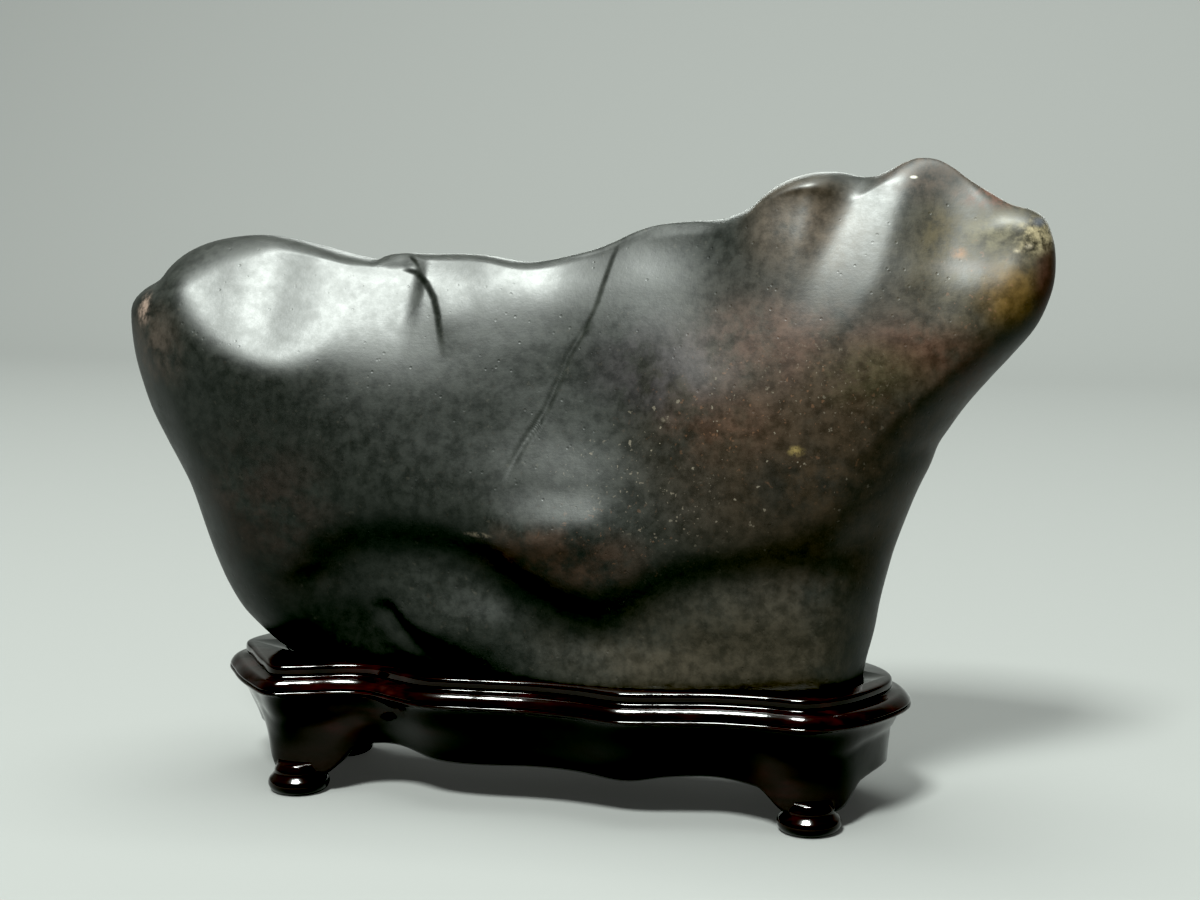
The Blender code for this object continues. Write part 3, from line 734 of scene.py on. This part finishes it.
@dataclass
class ScholarsRock:
    """The natural stone: a broad slab with a raised head at its right-hand end."""

    finish: PolishedStone = field(default_factory=PolishedStone)
    heart: Point2 = (15.0, 70.0)
    refinements: tuple[float, ...] = (2.5, 1.2)
    divisions: int = 7
    outline_steps: int = 8192
    thinnest: float = 1.5
    outline: tuple[Point3, ...] = (
        (-100.3, 103.2, 12), (-99.5, 106.3, 11), (-96.7, 108.8, 9), (-93.0, 110.9, 10),
        (-90.2, 114.0, 11), (-86.2, 117.0, 11), (-80.7, 119.2, 10), (-73.9, 120.4, 9),
        (-68.0, 120.6, 7), (-61.7, 119.6, 6), (-55.4, 118.1, 5), (-50.1, 116.7, 4),
        (-45.3, 115.8, 2.6), (-42.5, 115.5, 2.2), (-40.2, 116.5, 2.0), (-36.3, 117.0, 1.8),
        (-30.6, 116.9, 1.8), (-19.4, 116.8, 1.8), (-8.2, 115.4, 1.8), (3.8, 117.6, 1.8),
        (9.7, 119.6, 2.5), (14.7, 121.9, 3), (19.6, 123.4, 3), (26.4, 124.2, 3),
        (32.3, 124.5, 3), (36.5, 125.8, 3), (40.0, 127.6, 4), (43.5, 130.7, 4),
        (47.2, 132.8, 4), (51.7, 134.2, 4), (57.1, 134.4, 4), (61.1, 133.6, 5),
        (64.2, 133.4, 6), (67.6, 134.8, 6), (70.6, 136.4, 6), (73.6, 137.2, 7),
        (77.2, 136.8, 8), (80.6, 135.0, 10), (83.6, 132.8, 11), (91.6, 128.1, 10),
        (95.5, 127.1, 8), (98.3, 125.5, 6), (99.6, 123.1, 8), (100.7, 119.0, 11),
        (100.8, 113.4, 13), (99.6, 108.4, 15), (97.2, 103.3, 17), (92.8, 97.8, 17),
        (88.6, 93.0, 17), (84.0, 87.4, 17), (80.4, 82.1, 17), (78.5, 79.0, 17),
        (77.0, 74.8, 17), (74.1, 68.4, 16), (70.4, 58.2, 15), (68.8, 52.4, 15),
        (67.3, 46.0, 15), (66.2, 39.5, 14), (64.6, 33.0, 12), (63.5, 27.0, 9),
        (61.5, 24.3, 7), (57.0, 22.4, 6), (40.0, 22.0, 5), (10.0, 22.0, 5),
        (-20.0, 22.0, 5), (-45.0, 22.2, 6), (-57.0, 23.2, 8), (-63.1, 27.6, 11),
        (-67.4, 30.1, 13), (-71.6, 33.6, 14), (-75.4, 37.5, 15), (-78.7, 42.9, 16),
        (-81.0, 48.3, 16), (-83.0, 54.2, 16), (-86.4, 64.4, 16), (-89.2, 70.0, 16),
        (-92.4, 75.5, 16), (-95.7, 81.6, 16), (-97.9, 87.9, 15), (-99.6, 94.6, 14),
    )
    front_x: tuple[float, ...] = (-98, -90, -80, -70, -58, -45, -30, -15, 0, 15, 30, 45, 60, 72, 85, 100)
    front_z: tuple[float, ...] = (22, 30, 38, 46, 54, 62, 70, 80, 90, 100, 110, 120, 130)
    front_depth: tuple[tuple[float, ...], ...] = (
        (5, 5, 6, 6.5, 7, 8.5, 11, 14.5, 16.5, 18, 15.5, 12.5, 10, 8, 6, 6),
        (6, 6, 7, 8, 9, 10, 13, 16, 17.5, 18.5, 17.5, 15.5, 13, 10, 7, 6),
        (7, 7, 9, 10.5, 12, 12, 15.5, 17.5, 18, 19, 18.5, 17, 14.5, 11, 8, 6),
        (8, 8.5, 11, 13.5, 15, 15.5, 17, 18.0, 20.3, 21.2, 21.0, 19.2, 16.0, 12, 8, 6),
        (9, 10, 13.5, 16, 18, 18.8, 19, 19.6, 22.2, 22.6, 22.4, 20.8, 17, 13.4, 9, 6),
        (10, 11.5, 15, 18, 19.5, 20.2, 20.5, 20.8, 22.8, 22.8, 22.8, 21.4, 18.4, 14.4, 9.5, 6),
        (10.5, 12.5, 16, 19, 20.5, 20.8, 20.6, 20.0, 20.5, 21.1, 22.3, 22.1, 19.9, 15.9, 10.5, 6),
        (11, 13, 17.4, 20.7, 21.8, 20.8, 19.4, 17.7, 16.2, 17.6, 21.6, 22.3, 20.7, 17, 12, 6),
        (11.4, 14, 18.6, 21.8, 22.6, 19.4, 17.2, 15.5, 13.1, 14.7, 19.9, 21.4, 21, 18, 13, 8),
        (11.2, 14.2, 19.0, 22.2, 22.6, 16.2, 13.0, 12.2, 10.5, 12.3, 15.6, 18.9, 19.6, 17.5, 13.5, 9),
        (9, 12, 17, 20.5, 20.5, 12.0, 7.7, 7.4, 6.2, 7.9, 10.5, 15.5, 17.0, 15.0, 11.5, 8.5),
        (8, 10, 14, 17, 17, 8.0, 0.4, 0.0, -1.4, 2.0, 5.4, 12.2, 13.8, 12.0, 7.5, 6),
        (8, 10, 13, 15, 14, 4, -4, -8, -8, -2, 2, 8.8, 10.2, 9.8, 5.0, 5),
    )
    facets: tuple[WornFacet, ...] = (
        WornFacet("broad facet on the left shoulder", (-60, 118), 5.1, (-0.15, -0.72), 2.4, 27, curl=0.22),
        WornFacet("chip at the top edge", (-37.0, 115.5), 2.2, (-0.2, -1.6), 0.5, 3.0, -1.0, 0.5),
        WornFacet("cheek", (66.5, 131), 5.7, (0.06, -0.58), 3.0, 3.0, 0.4, 0.06),
        WornFacet("turn at the right of the cheek", (69, 125), 9.3, (-0.40, -0.46), 1.2, 7.0, curl=0.027),
    )
    back_x: tuple[float, ...] = (-95, -75, -55, -35, -15, 5, 25, 45, 65, 85, 100)
    back_z: tuple[float, ...] = (22, 34, 45, 56, 70, 85, 95, 105, 115, 126, 138)
    back_round: float = 6.0
    back_depth: tuple[tuple[float, ...], ...] = (
        (6, 8, 10, 13, 14.5, 15, 15, 14, 11, 9, 8),
        (9, 11, 13, 15, 16.5, 17, 16.5, 15, 12.5, 10, 9),
        (11, 14, 16, 17.5, 18.5, 19, 18, 16.5, 14, 12, 10),
        (13, 17, 19, 20, 20.5, 20.5, 20, 18.5, 16, 14, 12),
        (14, 19, 21.5, 22, 21.5, 22, 22.5, 21, 18, 16, 13),
        (14, 19, 21.5, 22.5, 22, 22, 23, 22, 19.5, 17, 14),
        (13, 18, 20.5, 21.5, 21, 21, 22, 21.5, 19.5, 17, 14),
        (11, 16, 18, 19, 19, 19, 20.5, 20, 18.5, 16, 13),
        (9, 13, 15, 16, 16, 16, 17.5, 17.5, 16.5, 14, 11),
        (6, 10, 11, 12, 12, 12.5, 14, 14.5, 13.5, 11.5, 9),
        (4, 7, 7, 8, 9, 10, 11, 11, 10, 8, 7),
    )
    marks: tuple[WornMark, ...] = (
        WornMark("long crease down from the top edge",
                 ((-9.5, 67.4), *CREASE, (8.6, 107.4), (10.3, 115.2), (12.0, 122)), 0.6, 0.48,
                 MarkKind.LEDGE, 12.0),
        WornMark("end of the haunch", ((9, 61.5), (-7, 60)), 5.5, 1.7),
        WornMark("wavy undercut",
                 ((-48, 52), (-41, 54.7), (-32, 56), (-23, 55.5), (-14.6, 52.7), (-6, 47.8), (3, 43.6),
                  (11, 42.0), (20, 45.4), (28, 50), (36.5, 52.5), (45, 54), (53, 55.4), (61, 57.4),
                  (67, 60)), 5.0, -2.6, right_width=8.0),
        WornMark("low lump on the left", ((-27, 39), (-12, 38)), 7.0, 1.2),
        WornMark("fold left of the low lump",
                 ((-36.2, 41.3), (-32.9, 37.5), (-29.6, 34.9), (-25.8, 33.1)), 2.4, -1.1),
        WornMark("lower end of the long crease", ((-8.2, 70), *CREASE, (7.4, 104)), 1.4, -0.36,
                 MarkKind.CRISP),
        WornMark("split in the top edge",
                 ((-23.0, 95), (-24.2, 100), (-25.4, 104.5), (-26.8, 108.0), (-29.0, 111.0),
                  (-32.0, 113.2), (-37.0, 114.8)), 0.9, 0.8, MarkKind.LEDGE, 6.0),
        WornMark("hollow by the left end", ((-77, 111), (-74, 101)), 7.0, -0.5),
        WornMark("hollow in the left facet", ((-62, 113), (-62, 103)), 6.0, -0.6),
        WornMark("dish behind the snout", ((83, 122), (92, 121)), 6.0, -0.7),
        WornMark("lip under the dish", ((74, 114.8), (80, 112.8), (87, 112.0), (99, 115.5)), 3.2, 0.3),
        WornMark("back furrow", ((-30, 112), (-18, 92), (-22, 70), (-10, 48)), 8.0, -2.4, face=Face.BACK),
        WornMark("back hollow", ((38, 104), (46, 92)), 12.0, -3.0, face=Face.BACK),
        WornMark("back shelf", ((-60, 52), (-35, 45), (-5, 50), (30, 44), (60, 50)), 4.5, -2.2,
                 face=Face.BACK),
        WornMark("back boss", ((-62, 84),), 14.0, 1.6, face=Face.BACK),
    )

    def outline_at(self, turn: Array) -> list[Array]:
        """Read the outline at shares of the way round.

        Args:
            turn: Shares of the way round, from the right-hand side over the top.

        Returns:
            The x, the z and the edge rounding at each share.
        """
        loop = closed_curve(self.outline[::-1], self.outline_steps)
        facing = np.arctan2(loop[:, 1] - self.heart[1], loop[:, 0] - self.heart[0])
        loop = np.roll(loop, -np.argmin(np.abs(facing)), 0)
        loop = np.vstack([loop, loop[:1]])
        at = np.linspace(0, 1, len(loop))
        return [np.interp(turn, at, loop[:, i]) for i in range(3)]

    def depth_at(self, face: Face, x: Array, z: Array) -> Array:
        """Read how far a broad face stands out from the middle plane.

        Args:
            face: Which face to read.
            x: Across places.
            z: Heights.

        Returns:
            The depth at each place.
        """
        at_x, at_z, table = ((self.front_x, self.front_z, self.front_depth) if face is Face.FRONT
                             else (self.back_x, self.back_z, self.back_depth))
        grid = np.array(table, float)

        def cell(stations: tuple[float, ...], value: Array) -> tuple[Array, Array]:
            """Find the stretch of stations that a value is in, and how far along it."""
            at = np.array(stations, float)
            k = np.clip(np.searchsorted(at, value) - 1, 0, len(at) - 2)
            return k, np.clip((value - at[k]) / (at[k + 1] - at[k]), 0, 1)

        kx, tx = cell(at_x, x)
        kz, tz = cell(at_z, z)
        rows = []
        for dz in (-1, 0, 1, 2):
            row = np.clip(kz + dz, 0, len(at_z) - 1)
            cols = [grid[row, np.clip(kx + dx, 0, len(at_x) - 1)] for dx in (-1, 0, 1, 2)]
            rows.append(cubic(*cols, tx))
        depth = cubic(*rows, tz)
        for facet in self.facets:
            if facet.face is face:
                depth = facet.trim(depth, x, z)
        for mark in self.marks:
            if mark.face is face:
                depth = depth + mark.rise(x, z)
        return np.maximum(depth, self.thinnest)

    def refine(self, bm: bmesh.types.BMesh, reach: float) -> None:
        """Halve the edges of the ball wherever a crisp mark will cross it.

        Args:
            bm: The ball, of radius one.
            reach: How far from a mark's path to refine, in millimetres.
        """
        unit = np.array([v.co for v in bm.verts])
        place = self.surface(unit / np.linalg.norm(unit, axis=1)[:, None])
        near = np.zeros(len(place), bool)
        for mark in self.marks:
            if mark.kind is not MarkKind.SOFT:
                near |= path_distance(mark.path, place[:, 0], place[:, 2])[0] < mark.width + reach
        near &= place[:, 1] < 0
        bm.verts.index_update()
        edges = [edge for edge in bm.edges if near[edge.verts[0].index] and near[edge.verts[1].index]]
        bmesh.ops.subdivide_edges(bm, edges=edges, cuts=1, use_grid_fill=True)
        bmesh.ops.triangulate(bm, faces=bm.faces)

    def surface(self, direction: Array) -> Array:
        """Place unit directions on the stone.

        Args:
            direction: Unit directions, one a row.

        Returns:
            Their places on the surface, in millimetres.
        """
        reach = np.hypot(direction[:, 0], direction[:, 2])
        turn = np.arctan2(direction[:, 2], direction[:, 0]) / (2 * math.pi) % 1
        rim_x, rim_z, rounding = self.outline_at(turn)
        away_x, away_z = rim_x - self.heart[0], rim_z - self.heart[1]
        x, z = self.heart[0] + reach * away_x, self.heart[1] + reach * away_z
        front = direction[:, 1] < 0
        rounding = rounding + np.where(front, 0, self.back_round)
        inset = np.clip((1 - reach) * np.hypot(away_x, away_z) / rounding, 0, 1)
        edge = np.sqrt(1 - (1 - inset) ** 2)
        depth = np.where(front, self.depth_at(Face.FRONT, x, z), self.depth_at(Face.BACK, x, z))
        return np.stack([x, np.where(front, -1, 1) * depth * edge, z], 1)

    def mesh(self, divisions: int, swell: float = 0.0) -> bmesh.types.BMesh:
        """Build the stone's mesh.

        Args:
            divisions: How finely the ball it starts from is divided.
            swell: How far the surface is pushed out, in millimetres.

        Returns:
            The mesh, in metres.
        """
        bm = bmesh.new()
        bmesh.ops.create_icosphere(bm, subdivisions=divisions, radius=1.0)
        for reach in self.refinements:
            self.refine(bm, reach)
        unit = np.array([v.co for v in bm.verts])
        unit /= np.linalg.norm(unit, axis=1)[:, None]
        for vert, place in zip(bm.verts, self.surface(unit)):
            vert.co = place * MM
        if swell:
            bm.normal_update()
            for vert in bm.verts:
                vert.co += vert.normal * swell * MM
        return bm

    def build(self) -> bpy.types.Object:
        """Make the stone, dress it and put it in the frame's place."""
        stone = place_object("scholars_rock", self.mesh(self.divisions), self.finish.make())
        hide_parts("stone")
        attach(stone, "root")
        return stone


# ---- the stand ------------------------------------------------------------------------------
@dataclass
class CarvedStand:
    """The one-block stand: rim, moulding, apron, legs and pad feet, with a seat for the stone."""

    finish: LacqueredWood = field(default_factory=LacqueredWood)
    rings: int = 420
    curve_steps: int = 4
    pad_steps: int = 64
    seat_gap: float = 0.3
    seat_divisions: int = 5
    panel_underside: float = 14.0
    leg_bottom: float = 4.4
    leg_half_width: float = 5.4
    leg_spread: float = 13.0
    brace_spread: float = 24.0
    leg_thickening: float = 4.0
    knee: float = 1.1
    wall: float = 5.0
    wall_draft: float = 1.2
    lip_lift: float = 0.6
    spine: Point3 = (-56.0, 50.0, 1.5)
    apron_smoothing: float = 11.0
    smooth_from: float = 1.6
    side_reach: float = 0.85
    end_reach: float = 0.45
    end_hold: float = 0.9
    left_hold: float = 0.3
    outline: tuple[Point3, ...] = (
        (-76.6, 3.0, 11.0), (-72.2, -4.5, 10.6), (-66.5, -12.5, 9.0), (-61.0, -18.3, 8.0),
        (-54.0, -16.6, 8.0), (-47.0, -13.8, 9.6), (-40.5, -13.4, 11.0), (-33.5, -16.9, 10.8),
        (-26.0, -19.8, 9.0), (-15.0, -19.4, 8.8), (-3.0, -18.8, 9.2), (6.5, -19.9, 9.1),
        (16.5, -22.3, 8.2), (26.0, -20.6, 9.6), (36.0, -18.6, 9.9), (46.0, -18.4, 9.2),
        (54.5, -18.9, 8.0), (61.5, -14.2, 8.0), (66.6, -6.6, 9.8), (69.7, 2.5, 11.0),
        (67.8, 10.5, 9.8), (61.5, 17.4, 8.0), (53.0, 20.6, 8.0), (43.0, 19.6, 9.6),
        (33.0, 18.8, 10.4), (22.0, 20.2, 9.4), (8.0, 22.0, 8.4), (-6.0, 20.4, 9.4),
        (-20.0, 18.8, 10.4), (-34.0, 18.8, 10.0), (-46.0, 20.2, 8.8), (-57.0, 21.4, 8.0),
        (-66.5, 18.8, 8.0), (-73.8, 12.0, 10.0),
    )
    moulding: tuple[Point2, ...] = (
        (-0.9, 28.6), (-0.25, 28.4), (0.0, 27.8), (0.0, 26.7), (-0.2, 26.2), (0.7, 25.8), (1.6, 25.6),
        (2.25, 25.1), (2.75, 24.4), (3.05, 23.7), (2.7, 23.45), (3.1, 23.15), (3.1, 22.7), (2.5, 22.35),
        (1.9, 22.1),
    )
    body: tuple[Point2, ...] = ((1.3, 0.08), (0.4, 0.30), (-1.2, 0.55), (-3.0, 0.80), (-4.2, 1.0))
    feet: tuple[Point2, ...] = ((-57.6, -14.0), (55.1, -14.5), (-58.5, 16.0), (54.0, 15.8))
    pad: tuple[Point2, ...] = (
        (5.2, 0.0), (6.2, 0.6), (6.7, 1.7), (6.5, 2.8), (5.8, 3.6), (5.3, 4.3), (5.2, 5.0), (4.4, 6.4),
    )

    def plan(self) -> tuple[Array, Array, Array, Array, Array]:
        """Lay out the stand seen from above.

        Returns:
            The rim's points, their outward directions, the height of the apron's lower edge there,
            how much of a leg is there, and how much the leg braces the apron outwards there.
        """
        loop = closed_curve(self.outline, self.rings)
        rim, edge = loop[:, :2], loop[:, 2]
        spine = np.stack([np.clip(rim[:, 0], *self.spine[:2]), np.full(len(rim), self.spine[2])], 1)
        out = rim - spine
        out /= np.linalg.norm(out, axis=1)[:, None]
        run = np.concatenate([[0], np.cumsum(np.linalg.norm(np.roll(rim, -1, 0) - rim, axis=1))])
        away = np.full(len(rim), FAR)
        for foot in self.feet:
            nearest = np.argmin(np.linalg.norm(rim - np.array(foot), axis=1))
            along = np.abs(run[:-1] - run[nearest])
            away = np.minimum(away, np.minimum(along, run[-1] - along))
        beyond = away - self.leg_half_width
        leg = 1 - smooth_step(beyond / (self.leg_spread - self.leg_half_width))
        brace = 1 - smooth_step(beyond / (self.brace_spread - self.leg_half_width))
        return rim, out, edge * (1 - leg) + self.leg_bottom * leg, leg, brace

    def sections(self) -> list[Array]:
        """Stack the rings of points from the rim's top down the outside and up inside the hollow.

        Every ring follows the rim's plan, moved out or in. The moulding stands out more at the two ends
        than along the sides. Lower down, the apron's plan is smoother than the rim's and tucks in, less
        by the legs and at the ends.

        Returns:
            The points of each ring, in millimetres.
        """
        rim, out, edge, leg, brace = self.plan()
        around = float(np.linalg.norm(np.roll(rim, -1, 0) - rim, axis=1).sum())
        steps = round(self.apron_smoothing * len(rim) / around)
        plain = np.mean([np.roll(rim, k, 0) for k in range(-steps, steps + 1)], 0)
        ends = self.side_reach + self.end_reach * np.abs(out[:, 0])
        held = self.end_hold * np.abs(out[:, 0]) ** 3
        upright = held * np.where(out[:, 0] > 0, 1.0, self.left_hold)
        rings = []
        for away, height in open_curve(self.moulding, self.curve_steps):
            shift = away * (ends if away > 0 else 1)
            rings.append((rim + out * np.reshape(shift, (-1, 1)), np.full(len(rim), height)))
        last_away, start = self.moulding[-1]
        for away, share in open_curve(((last_away, 0.0), *self.body), self.curve_steps)[1:]:
            tuck = away * (1 - self.knee * brace) * (1 - upright) if away < 0 else away * ends
            base = rim + (plain - rim) * (min(1.0, share * self.smooth_from) * (1 - held))[:, None]
            rings.append((base + out * np.reshape(tuck, (-1, 1)), start + (edge - start) * share))
        bottom = self.body[-1][0] * (1 - self.knee * brace)
        inner = plain + out * (bottom - self.wall - self.leg_thickening * leg)[:, None]
        rings.append((inner, edge + self.lip_lift * (1 - leg)))
        rings.append((inner - out * self.wall_draft, np.full(len(rim), self.panel_underside)))
        return [np.column_stack([plan, height]) for plan, height in rings]

    def body_mesh(self) -> bmesh.types.BMesh:
        """Skin the stacked rings into one closed body, in metres."""
        bm = bmesh.new()
        loops = [[bm.verts.new(p * MM) for p in ring] for ring in self.sections()]
        for upper, lower in zip(loops, loops[1:]):
            for i in range(len(upper)):
                j = (i + 1) % len(upper)
                bm.faces.new((upper[i], upper[j], lower[j], lower[i]))
        bm.faces.new(loops[0])
        bm.faces.new(loops[-1])
        return bm

    def pad_mesh(self, centre: Point2) -> bmesh.types.BMesh:
        """Turn one pad foot.

        Args:
            centre: Where its axis stands.

        Returns:
            The pad's mesh, in metres.
        """
        bm = bmesh.new()
        outside = open_curve(self.pad, self.curve_steps)
        profile = [(0.0, self.pad[0][1]), *outside, (0.0, self.pad[-1][1])]
        verts = [bm.verts.new((r * MM, 0, h * MM)) for r, h in profile]
        for a, b in zip(verts, verts[1:]):
            bm.edges.new((a, b))
        bmesh.ops.spin(bm, geom=bm.verts[:] + bm.edges[:], axis=(0, 0, 1), cent=(0, 0, 0),
                       steps=self.pad_steps, angle=2 * math.pi, use_merge=True)
        bmesh.ops.remove_doubles(bm, verts=bm.verts, dist=1e-6)
        bmesh.ops.translate(bm, verts=bm.verts, vec=(centre[0] * MM, centre[1] * MM, 0))
        return bm

    def build(self, rock: ScholarsRock) -> bpy.types.Object:
        """Make the stand, sink the seat for the stone into it and dress it.

        Args:
            rock: The stone that the seat is cut for.

        Returns:
            The stand.
        """
        stand = place_object("carved_stand", self.body_mesh(), self.finish.make())
        for centre in self.feet:
            carve(stand, place_object("pad", self.pad_mesh(centre), None), "UNION")
        seat = place_object("seat", rock.mesh(self.seat_divisions, self.seat_gap), None)
        carve(stand, seat, "DIFFERENCE")
        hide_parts("stand")
        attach(stand, "root")
        return stand


# ---- the studio -----------------------------------------------------------------------------
class Lit(Enum):
    """What a lamp lights."""

    OBJECT = "the stone and the stand"
    STONE = "the stone"
    GROUND = "the ground"
    ALL = "everything"


@dataclass(frozen=True)
class Lamp:
    """One soft rectangular lamp: its places and size in millimetres, and its power in watts."""

    name: str
    place: Point3
    aim: Point3
    size: Point2
    watts: float
    lights: Lit
    colour: Colour = (0.93, 1.0, 0.95)

    def hang(self, lit: Sequence[bpy.types.Object]) -> bpy.types.Object:
        """Hang the lamp.

        Args:
            lit: The only objects that it lights, or nothing for all of them.

        Returns:
            The lamp.
        """
        light = bpy.data.lights.new(self.name, "AREA")
        light.shape = "RECTANGLE"
        light.size, light.size_y = self.size[0] * MM, self.size[1] * MM
        light.energy = self.watts
        light.color = self.colour
        lamp = bpy.data.objects.new(self.name, light)
        lamp.location = Vector(self.place) * MM
        lamp.rotation_mode = "QUATERNION"
        lamp.rotation_quaternion = (Vector(self.aim) - Vector(self.place)).to_track_quat("-Z", "Y")
        bpy.context.scene.collection.objects.link(lamp)
        if lit:
            lamp.light_linking.receiver_collection = bpy.data.collections.new(f"lit by the {self.name}")
            for piece in lit:
                lamp.light_linking.receiver_collection.objects.link(piece)
        return lamp


@dataclass
class Studio:
    """Pale seamless ground, soft lights and the camera."""

    ground: PaleCloth = field(default_factory=PaleCloth)
    ground_half_width: float = 3000.0
    ground_front: float = -600.0
    bend_start: float = 900.0
    bend_radius: float = 500.0
    bend_steps: int = 16
    backdrop_top: float = 2400.0
    camera_place: Point3 = (109.5, -410.7, 135.0)
    camera_turn: float = 14.0
    camera_drop: float = 8.0
    camera_range: Point2 = (10.0, 20000.0)
    lens: float = 60.0
    sensor: float = 36.0
    lamps: tuple[Lamp, ...] = (
        Lamp("key", (-100.0, -760.0, 1840.0), (0, 0, 70), (660.0, 480.0), 180.0, Lit.OBJECT),
        Lamp("floor key", (-150.0, -1190.0, 1600.0), (0, 0, 0), (380.0, 380.0), 129.0, Lit.GROUND),
        Lamp("floor top", (-60.0, 60.0, 1900.0), (0, 0, 0), (1100.0, 1100.0), 62.0, Lit.GROUND),
        Lamp("rear", (150.0, 1120.0, 480.0), (0, 0, 70), (1300.0, 280.0), 9.0, Lit.STONE),
        Lamp("backdrop", (0.0, 500.0, 1500.0), (0, 1300, 500), (1500.0, 300.0), 14.0, Lit.ALL),
    )
    room_colour: Colour = (0.86, 0.90, 0.88)
    room_strength: float = 0.25
    black_level: float = 0.024

    def floor(self) -> bpy.types.Object:
        """Lay the ground, which curves up into a backdrop far behind."""
        bm = bmesh.new()
        start, radius = self.bend_start, self.bend_radius
        side = [(self.ground_front, 0.0), (start, 0.0)]
        for angle in np.linspace(0.1, math.pi / 2, self.bend_steps):
            side.append((start + radius * math.sin(angle), radius * (1 - math.cos(angle))))
        side.append((start + radius, self.backdrop_top))
        ends = (-self.ground_half_width, self.ground_half_width)
        rows = [[bm.verts.new((x * MM, y * MM, z * MM)) for x in ends] for y, z in side]
        for a, b in zip(rows, rows[1:]):
            bm.faces.new((a[0], a[1], b[1], b[0]))
        floor = place_object("ground", bm, self.ground.make())
        return floor

    def camera(self) -> bpy.types.Object:
        """Set up the camera a little above the stone's head, turned towards its middle."""
        data = bpy.data.cameras.new("camera")
        data.lens, data.sensor_width, data.sensor_fit = self.lens, self.sensor, "HORIZONTAL"
        data.clip_start, data.clip_end = self.camera_range[0] * MM, self.camera_range[1] * MM
        turn, drop = math.radians(self.camera_turn), math.radians(self.camera_drop)
        right = Vector((math.cos(turn), math.sin(turn), 0))
        ahead = Vector((-math.sin(turn) * math.cos(drop), math.cos(turn) * math.cos(drop), -math.sin(drop)))
        up = right.cross(ahead)
        camera = bpy.data.objects.new("camera", data)
        camera.matrix_world = Matrix.Translation(Vector(self.camera_place) * MM) @ Matrix(
            (right, up, -ahead)).transposed().to_4x4()
        bpy.context.scene.collection.objects.link(camera)
        bpy.context.scene.camera = camera
        return camera

    def sky(self) -> None:
        """Fill the room with even pale light."""
        world = bpy.data.worlds.new("room")
        world.use_nodes = True
        shader = world.node_tree.nodes["Background"]
        shader.inputs["Color"].default_value = (*self.room_colour, 1.0)
        shader.inputs["Strength"].default_value = self.room_strength
        bpy.context.scene.world = world

    def build(self, stone: bpy.types.Object, stand: bpy.types.Object) -> None:
        """Lay the ground, hang the lamps and set up the camera.

        Args:
            stone: The stone, which the rear lamp lights alone.
            stand: The stand.
        """
        ground = self.floor()
        lit = {Lit.OBJECT: (stone, stand), Lit.STONE: (stone,), Lit.GROUND: (ground,), Lit.ALL: ()}
        for lamp in self.lamps:
            lamp.hang(lit[lamp.lights])
        self.camera()
        self.sky()
        view = bpy.context.scene.view_settings
        view.view_transform = "Standard"
        view.use_curve_mapping = True
        view.curve_mapping.black_level = (self.black_level,) * 3
        view.curve_mapping.update()


def main() -> None:
    """Build every piece in order."""
    logging.basicConfig(level=logging.INFO, format="%(name)s: %(message)s")
    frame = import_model()
    LOG.info("frame loaded with nodes %s", sorted(frame["nodes"]))
    rock = ScholarsRock()
    stone = rock.build()
    LOG.info("%s: %d faces", stone.name, len(stone.data.polygons))
    stand = CarvedStand().build(rock)
    LOG.info("%s: %d faces", stand.name, len(stand.data.polygons))
    Studio().build(stone, stand)
    LOG.info("studio ready")


if __name__ == "__main__":
    main()
